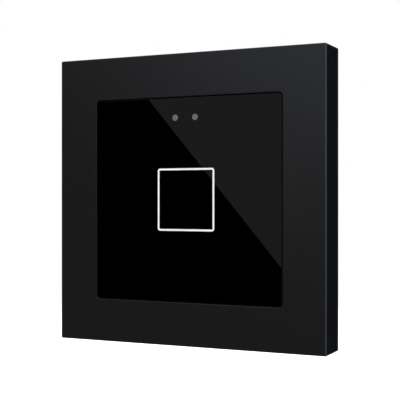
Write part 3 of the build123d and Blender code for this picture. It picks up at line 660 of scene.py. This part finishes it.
# Relief on the plate's front. A bead's profile is in shares of its width and rise
PLATE_RELIEF_FOOT = 1.15
BEAD_LENGTH, BEAD_WIDTH, BEAD_RISE = 9.0, 2.2, 0.55
BEAD_OFFSET, BEAD_ROW = 13.0, 28.6
BEAD_PROFILE = ((1.0, 0.0), (0.86, 0.55), (0.6, 0.88), (0.25, 1.0))
EMBOSS_ROW = 29.3
EMBOSS_OUTER_R, EMBOSS_INNER_R = 2.6, 1.7
EMBOSS_RISE, EMBOSS_SLOPE = 0.3, 0.12
# A radius a trace under half the width, so that no two points of a bead's end meet
ROUND_END = 0.999


def bead(shape, at, along_y):
    """Long pressed bead with round ends."""
    layers = []
    for share, lift in BEAD_PROFILE:
        across, along = BEAD_WIDTH * share, BEAD_LENGTH - BEAD_WIDTH * (1 - share)
        size = (across, along) if along_y else (along, across)
        points = rounded(*size, across / 2 * ROUND_END, at, 8)
        layers.append((points, PLATE_RELIEF_FOOT + BEAD_RISE * lift))
    shape.stack(layers)


def add_plate_relief():
    """Beads and round embosses pressed into the mounting plate."""
    shape = Shape()
    foot = PLATE_RELIEF_FOOT
    for s in (-1, 1):
        for across in (-1, 1):
            bead(shape, (across * BEAD_OFFSET, s * BEAD_ROW), False)
            bead(shape, (s * BEAD_ROW, across * BEAD_OFFSET), True)
            at = (s * EMBOSS_ROW, across * EMBOSS_ROW)
            outer, inner = circle(EMBOSS_OUTER_R, at), circle(EMBOSS_INNER_R, at)
            shape.band(outer, inner, foot, foot + EMBOSS_RISE, EMBOSS_SLOPE)
    shape.finish("plate_relief", "mounting", "zinc_steel")


FACE_MARKS_ACROSS = (-23.5, -7.0, 7.0, 23.5)
FACE_MARK_ROW = 34.6
FACE_MARK_OUTER_R, FACE_MARK_INNER_R = 1.6, 1.35
FACE_MARK_SINK, FACE_MARK_RISE, FACE_MARK_SLOPE = 0.02, 0.12, 0.05
SMALL_STEPS = 24


def add_frame_marks():
    """Ejector marks on the inside of the frame's face."""
    shape = Shape()
    foot, top = FACE_BACK + FACE_MARK_SINK, FACE_BACK - FACE_MARK_RISE
    for s in (-1, 1):
        for across in FACE_MARKS_ACROSS:
            for at in ((across, s * FACE_MARK_ROW), (s * FACE_MARK_ROW, across)):
                outer = circle(FACE_MARK_OUTER_R, at, SMALL_STEPS)
                inner = circle(FACE_MARK_INNER_R, at, SMALL_STEPS)
                shape.band(outer, inner, foot, top, FACE_MARK_SLOPE)
    shape.finish("frame_ejector_marks", "frame", "frame_plastic")


# A clamp leaf's bends: shares of its half length across the entry, and drops in millimetres.
# Its half width is a share of its half length
LEAF_T = 0.12
LEAF_WIDTH_SHARE = 0.8
LEAF_BENDS = ((-1.0, 0.7), (-0.3, 0.15), (0.2, -0.35), (0.35, -0.9))
BUS_LEAF_HALF, BUS_LEAF_H = 0.42, -12.6
BUS_LEAF_OFFSET = (1.3, 2.4)
INPUT_LEAF_HALF, INPUT_LEAF_H = 0.6, -12.9


def leaf(shape, at, half, h):
    """Spring leaf bent across a wire entry."""
    x, y = at
    wide = half * LEAF_WIDTH_SHARE
    loops = []
    for share, drop in LEAF_BENDS:
        near = (y + half * share, h + drop)
        far = (near[0] + LEAF_T, near[1] - LEAF_T)
        sides = [(x - wide, *near), (x + wide, *near), (x + wide, *far), (x - wide, *far)]
        loops.append(shape.corners(sides))
    shape.tube(loops)


def add_wire_clamps():
    """Bent metal leaves that grip a wire, seen inside the plugs' wire entries."""
    bus = Shape()
    for x, y in BUS_PINS_AT:
        for sx in (-1, 1):
            for sy in (-1, 1):
                at = (x + sx * BUS_LEAF_OFFSET[0], y + sy * BUS_LEAF_OFFSET[1])
                leaf(bus, at, BUS_LEAF_HALF, BUS_LEAF_H)
    bus.finish("bus_plug_clamps", "bus_plug", "contact_metal")
    inputs = Shape()
    for at in INPUT_PINS_AT:
        leaf(inputs, at, INPUT_LEAF_HALF, INPUT_LEAF_H)
    inputs.finish("input_plug_clamps", "input_plug", "contact_metal")


# A lead's bends in shares of its reach and rise, from the chip's side down to the board
LEAD_T = 0.14
LEAD_BENDS = ((-0.1, 1.0), (0.3, 1.0), (0.42, 0.9), (0.58, 0.12), (0.7, 0.0), (1.0, 0.0))
SIDES = ((1, 0), (-1, 0), (0, 1), (0, -1))


def lead(shape, at, away, width, reach, foot, rise):
    """Bent lead from a chip's side down to its board. It leaves in the direction away."""
    thick = math.copysign(LEAD_T, rise)
    loops = []
    for out, high in LEAD_BENDS:
        places = []
        for across, lift in ((-0.5, 0.0), (0.5, 0.0), (0.5, thick), (-0.5, thick)):
            x = at[0] + away[0] * out * reach - away[1] * across * width
            y = at[1] + away[1] * out * reach + away[0] * across * width
            places.append((x, y, foot + rise * high + lift))
        loops.append(shape.corners(places))
    shape.tube(loops)


def lead_row(shape, at, away, half, count, pitch, **size):
    """Row of leads along the side of a chip that lies the distance half from its middle."""
    for i in range(count):
        along = (i - (count - 1) / 2) * pitch
        x = at[0] + away[0] * half - away[1] * along
        y = at[1] + away[1] * half + away[0] * along
        lead(shape, (x, y), away, **size)


def add_leads():
    """Leads of the two leaded chips and of the programming switch."""
    shape = Shape()
    chip = {"width": 0.22, "reach": 1.0, "foot": BOARD_FRONT, "rise": 0.5}
    transceiver = {"width": 0.42, "reach": 0.9, "foot": BOARD_BACK, "rise": -0.4}
    switch = {"width": 0.7, "reach": 1.3, "foot": BOARD_BACK, "rise": -0.8}
    for away in SIDES:
        lead_row(shape, CHIP_AT, away, half=3.5, count=12, pitch=0.5, **chip)
    for away in SIDES[:2]:
        lead_row(shape, TRANSCEIVER_AT, away, half=2.5, count=4, pitch=1.27, **transceiver)
        lead_row(shape, BUTTON_AT, away, half=3.0, count=2, pitch=4.5, **switch)
    shape.finish("chip_leads", "module", "contact_metal", TIN)


END_ROUND = 0.05
CHIP_CAPACITORS_AT = tuple((11.0, -6.5 + 2.6 * i) for i in range(6))


def block_ends(shape, at, offset, size, foot, top):
    """Tinned ends to the left and right of a small component, rounded over at their tops."""
    width, height = size
    for s in (-1, 1):
        middle = (at[0] + offset * s, at[1])
        full = rounded(width, height, 0.1, middle, 2)
        inset = rounded(width - 2 * END_ROUND, height - 2 * END_ROUND, 0.06, middle, 2)
        shoulder = top - math.copysign(END_ROUND, top - foot)
        shape.stack([(full, foot), (full, shoulder), (inset, top)])


def solder_cone(shape, at, r, foot, up):
    """Solder that climbs a pin of radius r, away from its board in the direction up."""
    profile = (
        (r + 0.4, 0.0), (r + 0.22, 0.1), (r + 0.08, 0.26), (r * 0.6, 0.36), (r * 0.2, 0.38)
    )
    shape.stack([(circle(wide, at, 16), foot + up * high) for wide, high in profile])


def add_solder():
    """Solder round the bus board's pins, and the tinned ends of small components."""
    shape = Shape()
    for places, r in ((BUS_PINS_AT, 0.5), (INPUT_PINS_AT, 0.4)):
        for at in places:
            solder_cone(shape, at, r, BOARD_FRONT, 1)
            solder_cone(shape, at, r, BOARD_BACK, -1)
    for at in SOCKET_PINS_AT:
        solder_cone(shape, at, 0.25, BOARD_BACK, -1)
    for at in CHIP_CAPACITORS_AT:
        block_ends(shape, at, 0.81, (0.46, 1.33), BOARD_FRONT, top=-1.06)
    block_ends(shape, INDUCTOR_AT, 2.9, (0.5, 2.6), BOARD_BACK, top=-4.4)
    block_ends(shape, LAMP_AT, 0.9, (0.4, 1.3), BOARD_BACK, top=-3.6)
    shape.finish("solder_joints", "module", "contact_metal", TIN)


# Trim of the larger components, with heights as above
CAN_BASE_SHOULDER, CAN_BASE_TOP = -4.0, -4.15
CAN_MARK_R = 2.95
CAN_MARK_FROM, CAN_MARK_TURN, CAN_MARK_STEPS = 125, 110, 12
CAN_MARK_FOOT, CAN_MARK_TOP = -8.58, -8.62
CAN_RIM_FOOT, CAN_RIM_TOP, CAN_RIM_SLOPE = -4.55, -4.85, 0.05
CORE_FOOT, CORE_SHOULDER, CORE_TOP = -6.15, -6.32, -6.4
CRYSTAL_RIM_TOP, CRYSTAL_RIM_SLOPE = -1.74, 0.06
COVER_FOOT, COVER_TOP, COVER_SLOPE = -6.55, -6.69, 0.03


def add_component_trim():
    """Cans' bases and marks, core of the choke, rims of crystal and cans, cover of the switch."""
    black = Shape()
    for at in CANS_AT:
        base, bevel = rounded(6.7, 6.7, 1.1, at, 3), rounded(6.5, 6.5, 1.0, at, 3)
        black.stack([(base, BOARD_BACK), (base, CAN_BASE_SHOULDER), (bevel, CAN_BASE_TOP)])
        mark = []
        for i in range(CAN_MARK_STEPS + 1):
            angle = math.radians(CAN_MARK_FROM + CAN_MARK_TURN * i / CAN_MARK_STEPS)
            mark.append(on_circle(CAN_MARK_R, at, angle))
        black.stack([(mark, CAN_MARK_FOOT), (mark, CAN_MARK_TOP)])
    core, bevel = circle(2.4, INDUCTOR_AT), circle(2.25, INDUCTOR_AT)
    black.stack([(core, CORE_FOOT), (core, CORE_SHOULDER), (bevel, CORE_TOP)])
    black.finish("component_trim", "module", "chip_resin")
    bright = Shape()
    outer, inner = rounded(5.36, 3.56, 0.9, CRYSTAL_AT), rounded(4.9, 3.1, 0.7, CRYSTAL_AT)
    bright.band(outer, inner, BOARD_FRONT, CRYSTAL_RIM_TOP, CRYSTAL_RIM_SLOPE)
    outer, inner = rounded(5.8, 5.8, 0.7, BUTTON_AT), circle(2.0, BUTTON_AT, SMALL_STEPS)
    bright.band(outer, inner, COVER_FOOT, COVER_TOP, COVER_SLOPE)
    for at in CANS_AT:
        outer, inner = circle(3.19, at), circle(3.05, at)
        bright.band(outer, inner, CAN_RIM_FOOT, CAN_RIM_TOP, CAN_RIM_SLOPE)
    bright.finish("component_caps", "module", "can_aluminium")


add_housing_relief()
add_plate_relief()
add_frame_marks()
add_wire_clamps()
add_leads()
add_solder()
add_component_trim()


# Lights and surroundings, in metres
DIFFUSE_LEVEL = 0.28
FLOOR_Z = -0.2
FLOOR_REACH = 12.0
FLOOR_GLOW = 0.78
LAMP_SIZE = 0.9
LAMPS = (
    ("key_light", (-0.5, -1.1, 0.7), 8.8),
    ("fill_light", (0.25, -1.3, 0.1), 3.2),
    ("top_light", (0.1, 0.1, 1.3), 4.0),
    ("rear_light", (-0.3, 1.2, 0.6), 8.0),
)


def seen_rays(made):
    """1 for camera, glossy and transmission rays, else 0."""
    path = made.add("ShaderNodeLightPath").outputs
    direct = made.either(path["Is Camera Ray"], path["Is Glossy Ray"])
    return made.either(direct, path["Is Transmission Ray"])


def add_world():
    world = bpy.data.worlds.new("world")
    bpy.context.scene.world = world
    world.use_nodes = True
    made = Nodes(world.node_tree)
    strength = made.span(seen_rays(made), DIFFUSE_LEVEL, 1.0)
    inputs = {"Color": rgba(WHITE), "Strength": strength}
    background = made.add("ShaderNodeBackground", inputs)
    made.add("ShaderNodeOutputWorld", {"Surface": background.outputs[0]})


def staged_plane(name, corners):
    mesh = bpy.data.meshes.new(name)
    mesh.from_pydata([Vector(c) for c in corners], [], [(0, 1, 2, 3)])
    made = add_object(name, mesh)
    return made


def add_floor():
    """Pale floor that keeps the shadow and looks white itself."""
    reach = FLOOR_REACH
    corners = [(-reach, -reach), (reach, -reach), (reach, reach), (-reach, reach)]
    floor = staged_plane("floor", [(*corner, FLOOR_Z) for corner in corners])
    material, made = blank_material("floor")
    at, _ = made.coordinates()
    tone = made.mix(made.noise(at, 250.0), (0.88, 0.88, 0.88), (0.92, 0.92, 0.92))
    matt = made.add("ShaderNodeBsdfDiffuse", {"Color": tone})
    strength = made.both(seen_rays(made), FLOOR_GLOW)
    glow = made.add("ShaderNodeEmission", {"Strength": strength})
    both = made.add("ShaderNodeAddShader", {0: matt.outputs[0], 1: glow.outputs[0]})
    made.add("ShaderNodeOutputMaterial", {"Surface": both.outputs[0]})
    floor.data.materials.append(material)


def area_light(name, at, power):
    """Round soft light that looks at the switch and shows in no reflection."""
    data = bpy.data.lights.new(name, "AREA")
    data.shape = "DISK"
    data.size = LAMP_SIZE
    data.energy = power
    light = add_object(name, data)
    light.location = at
    light.rotation_euler = (-Vector(at)).to_track_quat("-Z", "Y").to_euler()
    light.visible_glossy = False
    light.visible_camera = False


# Cards. A build gives a card's colour and strength
GRADE_LOW, GRADE_HIGH = -0.15, 0.35


def even(colour, strength):
    return lambda made: (rgba(colour), strength)


def graded(colour, weak, strong):
    """Strength that rises from weak to strong between two heights."""

    def build(made):
        _, _, z = made.axes(made.geometry()["Position"])
        return rgba(colour), made.span(z, weak, strong, GRADE_LOW, GRADE_HIGH)

    return build


def card(name, corners, build=even(BLACK, 0.0)):
    """Studio card that only reflections see."""
    material, made = blank_material(name)
    colour, strength = build(made)
    light = made.add("ShaderNodeEmission", {"Color": colour, "Strength": strength})
    made.add("ShaderNodeOutputMaterial", {"Surface": light.outputs[0]})
    plane = staged_plane(name, corners)
    plane.data.materials.append(material)
    plane.visible_camera = False
    plane.visible_diffuse = False
    plane.visible_shadow = False
    plane.visible_transmission = False
    plane.visible_volume_scatter = False


def upright(a, b, low, high):
    """Corners of an upright plane between two points of the floor plan."""
    return [(*a, low), (*b, low), (*b, high), (*a, high)]


# The front card stands on this plane, seen in the panel by the camera's mirror image
CARD_Y = -0.6
CARD_REACH = 1.2
CARD_HIGH = 0.9
# The part of the front card that the glass panel shows: its right and upper limit
GLASS_X = -0.187
GLASS_Z = 0.1025
# The straight line between the dark and the lighter part of that, as x and z
SLANT_A = (-0.3305, 0.0977)
SLANT_B = (-0.1939, -0.0609)
SLANT_LEVEL = 0.26
# Outside the glass the card grows brighter and bluer towards the upper right, and fades high up
GLOW_AWAY = (0.5, 0.87)
GLOW_START, GLOW_END = 0.006, 0.160
GLOW_LEVEL = 0.68
FADE_LOW, FADE_HIGH = 0.3, 0.5
FADE_LEVEL = 0.4
GLOW_PALE = (0.76, 0.94, 1.0)
GLOW_BLUE = (0.66, 0.76, 1.0)

# A card that is lit on one side points at the frame's right front edge and lights that alone.
# Its line starts on the frame's face, and its reach is measured along it
EDGE_CARD_AIM = math.radians(43)
EDGE_CARD_FOOT = (0.0365, -0.01)
EDGE_CARD_REACH = (0.008, 0.1)
EDGE_CARD_HIGH = 0.06
EDGE_LEVEL = 6.0
EDGE_COLOUR = (0.42, 0.66, 1.0)

# Flags under and behind the switch, and the card to its right, which its side face shows
FLAG_Z = -0.19
FLOOR_FLAG_END = 0.15
LEFT_FLAG_END = 0.3
PATCH_AT = (-0.32, -0.3)
PATCH_REACH = 0.14
PATCH_LEVEL = 0.5
PATCH_COLOUR = (0.8, 0.88, 1.0)
BACK_A = (0.06, 0.7)
BACK_B = (0.66, 0.43)
BACK_LOW, BACK_HIGH = -0.199, 0.35
BACK_WEAK, BACK_STRONG = 0.006, 0.012
BACK_COLOUR = (0.1, 0.4, 1.0)
LOW_SIDE = 0.7
LOW_LEVEL = 0.1
LOW_COLOUR = (0.85, 0.92, 1.0)
RIGHT_A = (0.67, 0.43)
RIGHT_B = (0.62, -0.05)
RIGHT_LOW, RIGHT_HIGH = -0.17, 0.5
RIGHT_WEAK, RIGHT_STRONG = 0.5, 1.7
RIGHT_COLOUR = (0.58, 0.73, 1.0)


def line_distance(made, x, z, point, normal):
    """Distance from a line on the front card, positive along the normal."""
    across = made.math("ADD", made.both(x, normal[0]), made.both(z, normal[1]))
    return made.math("SUBTRACT", across, point[0] * normal[0] + point[1] * normal[1])


def front_card(made):
    """What the panel and the frame's face show in the photograph's view."""
    x, _, z = made.axes(made.geometry()["Position"])
    run = (SLANT_B[0] - SLANT_A[0], SLANT_B[1] - SLANT_A[1])
    length = math.hypot(*run)
    beyond = line_distance(made, x, z, SLANT_A, (-run[1] / length, run[0] / length))
    glass = made.both(made.above(beyond, 0.0), SLANT_LEVEL)
    outside = made.either(made.above(x, GLASS_X), made.above(z, GLASS_Z))
    climb = line_distance(made, x, z, (GLASS_X, 0.0), GLOW_AWAY)
    climb = made.span(climb, 0.0, 1.0, GLOW_START, GLOW_END, smooth=True)
    tint = made.mix(climb, GLOW_PALE, GLOW_BLUE)
    fade = made.span(z, 1.0, FADE_LEVEL, FADE_LOW, FADE_HIGH, smooth=True)
    glow = made.both(made.both(climb, GLOW_LEVEL), fade)
    return made.mix(outside, WHITE, tint), made.blend(outside, glass, glow)


def edge_card(made):
    """Lit on the side that faces the edge, dark on the side that the panel shows."""
    back = made.geometry()["Backfacing"]
    return rgba(EDGE_COLOUR), made.span(back, EDGE_LEVEL, 0.0)


def front_floor(made):
    """Dark, with a soft light patch to the left that the panel shows when seen from above."""
    x, y, _ = made.axes(made.geometry()["Position"])
    aside = made.size_of(made.math("SUBTRACT", x, PATCH_AT[0]))
    along = made.size_of(made.math("SUBTRACT", y, PATCH_AT[1]))
    away = made.either(aside, along)
    return rgba(PATCH_COLOUR), made.span(away, PATCH_LEVEL, 0.0, 0.0, PATCH_REACH, smooth=True)


def on_edge_card(reach):
    """The point of the edge card's line that far from its foot."""
    x, y = EDGE_CARD_FOOT
    return (x + math.sin(EDGE_CARD_AIM) * reach, y - math.cos(EDGE_CARD_AIM) * reach)


def add_cards():
    left, right = (-CARD_REACH, CARD_Y), (CARD_REACH, CARD_Y)
    card("front_card", upright(left, right, -CARD_HIGH, CARD_HIGH), front_card)
    card("left_flag", upright(left, (-CARD_REACH, LEFT_FLAG_END), -CARD_HIGH, CARD_HIGH))
    plan = [left, right, (CARD_REACH, FLOOR_FLAG_END), (-CARD_REACH, FLOOR_FLAG_END)]
    card("floor_flag", [(*corner, FLAG_Z) for corner in plan], front_floor)
    corners = upright(BACK_A, BACK_B, BACK_LOW, BACK_HIGH)
    card("back_flag", corners, graded(BACK_COLOUR, BACK_WEAK, BACK_STRONG))
    start = FLOOR_FLAG_END + MM
    plan = [(0.0, start), (LOW_SIDE, start), BACK_B, BACK_A]
    card("low_card", [(*corner, FLAG_Z) for corner in plan], even(LOW_COLOUR, LOW_LEVEL))
    near, far = (on_edge_card(reach) for reach in EDGE_CARD_REACH)
    card("edge_card", upright(far, near, -EDGE_CARD_HIGH, EDGE_CARD_HIGH), edge_card)
    corners = upright(RIGHT_A, RIGHT_B, RIGHT_LOW, RIGHT_HIGH)
    card("right_card", corners, graded(RIGHT_COLOUR, RIGHT_WEAK, RIGHT_STRONG))


add_world()
add_floor()
add_cards()
for lamp in LAMPS:
    area_light(*lamp)
